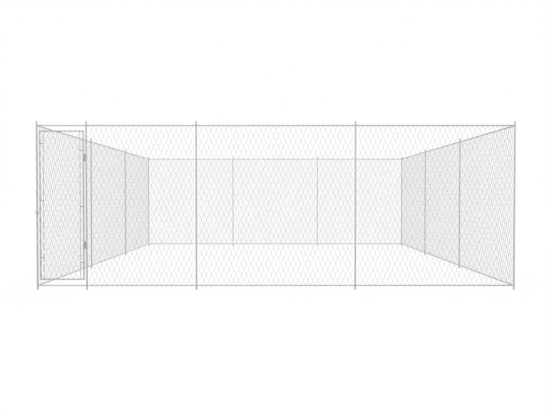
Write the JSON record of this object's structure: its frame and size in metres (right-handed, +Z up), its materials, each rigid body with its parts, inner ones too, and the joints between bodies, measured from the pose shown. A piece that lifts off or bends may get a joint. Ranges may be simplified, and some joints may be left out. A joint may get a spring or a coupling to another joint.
{
  "type": "outdoor dog kennel run",
  "caption": "Square open-topped dog run of galvanised tube posts, rails and diamond mesh walls, with a narrow hinged mesh gate and a turning latch at one end of the front wall.",
  "frame": {"origin": "on the ground at the middle of the square plan", "axes": "+Z up, +Y towards the back wall, +X towards the right wall; the gate is at the left end of the front wall, seen from outside"},
  "size_m": [5.7012, 5.7058, 2],
  "materials": {
    "galvanised_tube": "hot-dip galvanised, dull grey with faint spangle",
    "galvanised_wire": "galvanised wire, light grey",
    "zinc_hardware": "zinc plated, slightly darker than the tubes",
    "end_plug": "grey moulded plastic"
  },
  "bodies": {
    "frame": {"post_front_left": "galvanised_tube", "post_front_right": "galvanised_tube", "post_back_right": "galvanised_tube", "post_back_left": "galvanised_tube", "post_front_2": "galvanised_tube", "post_front_3": "galvanised_tube", "post_right_2": "galvanised_tube", "post_right_3": "galvanised_tube", "post_back_2": "galvanised_tube", "post_back_3": "galvanised_tube", "post_left_2": "galvanised_tube", "post_left_3": "galvanised_tube", "post_gate": "galvanised_tube", "post_caps": "end_plug", "post_feet": "end_plug", "rail_pegs": "galvanised_tube", "front_bottom_rails": "galvanised_tube", "front_top_rails": "galvanised_tube", "right_bottom_rails": "galvanised_tube", "right_top_rails": "galvanised_tube", "back_bottom_rails": "galvanised_tube", "back_top_rails": "galvanised_tube", "left_bottom_rails": "galvanised_tube", "left_top_rails": "galvanised_tube", "gate_header_rail": "galvanised_tube", "gate_sill_rail": "galvanised_tube", "front_net_1": "galvanised_wire", "front_net_2": "galvanised_wire", "front_net_3": "galvanised_wire", "right_net_1": "galvanised_wire", "right_net_2": "galvanised_wire", "right_net_3": "galvanised_wire", "back_net_1": "galvanised_wire", "back_net_2": "galvanised_wire", "back_net_3": "galvanised_wire", "left_net_1": "galvanised_wire", "left_net_2": "galvanised_wire", "left_net_3": "galvanised_wire", "hinge_post_lugs_lower": "zinc_hardware", "hinge_post_lugs_upper": "zinc_hardware", "hinge_pin_lower": "zinc_hardware", "hinge_pin_upper": "zinc_hardware", "latch_clamp_front": "zinc_hardware", "latch_clamp_back": "zinc_hardware", "latch_clamp_bolts": "zinc_hardware", "latch_pivot": "zinc_hardware"},
    "gate": {"gate_latch_stile": "galvanised_tube", "gate_hinge_stile": "galvanised_tube", "gate_bottom_rail": "galvanised_tube", "gate_top_rail": "galvanised_tube", "gate_latch_side_bar": "galvanised_tube", "gate_hinge_side_bar": "galvanised_tube", "gate_latch_side_clips": "zinc_hardware", "gate_hinge_side_clips": "zinc_hardware", "gate_net": "galvanised_wire", "latch_keeper": "zinc_hardware", "hinge_gate_lug_lower": "zinc_hardware", "hinge_gate_lug_upper": "zinc_hardware"},
    "lever": {"latch_lever": "zinc_hardware"}
  },
  "joints": [
    {"name": "gate_swing", "type": "hinge", "parent": "frame", "child": "gate", "pos_m": [-2.267, -2.835, 1], "axis": [0, 0, 1], "range_deg": [0, 100]},
    {"name": "latch_turn", "type": "hinge", "parent": "frame", "child": "lever", "pos_m": [-2.835, -2.855, 0.92], "axis": [0, 1, 0], "range_deg": [0, 90]}
  ]
}
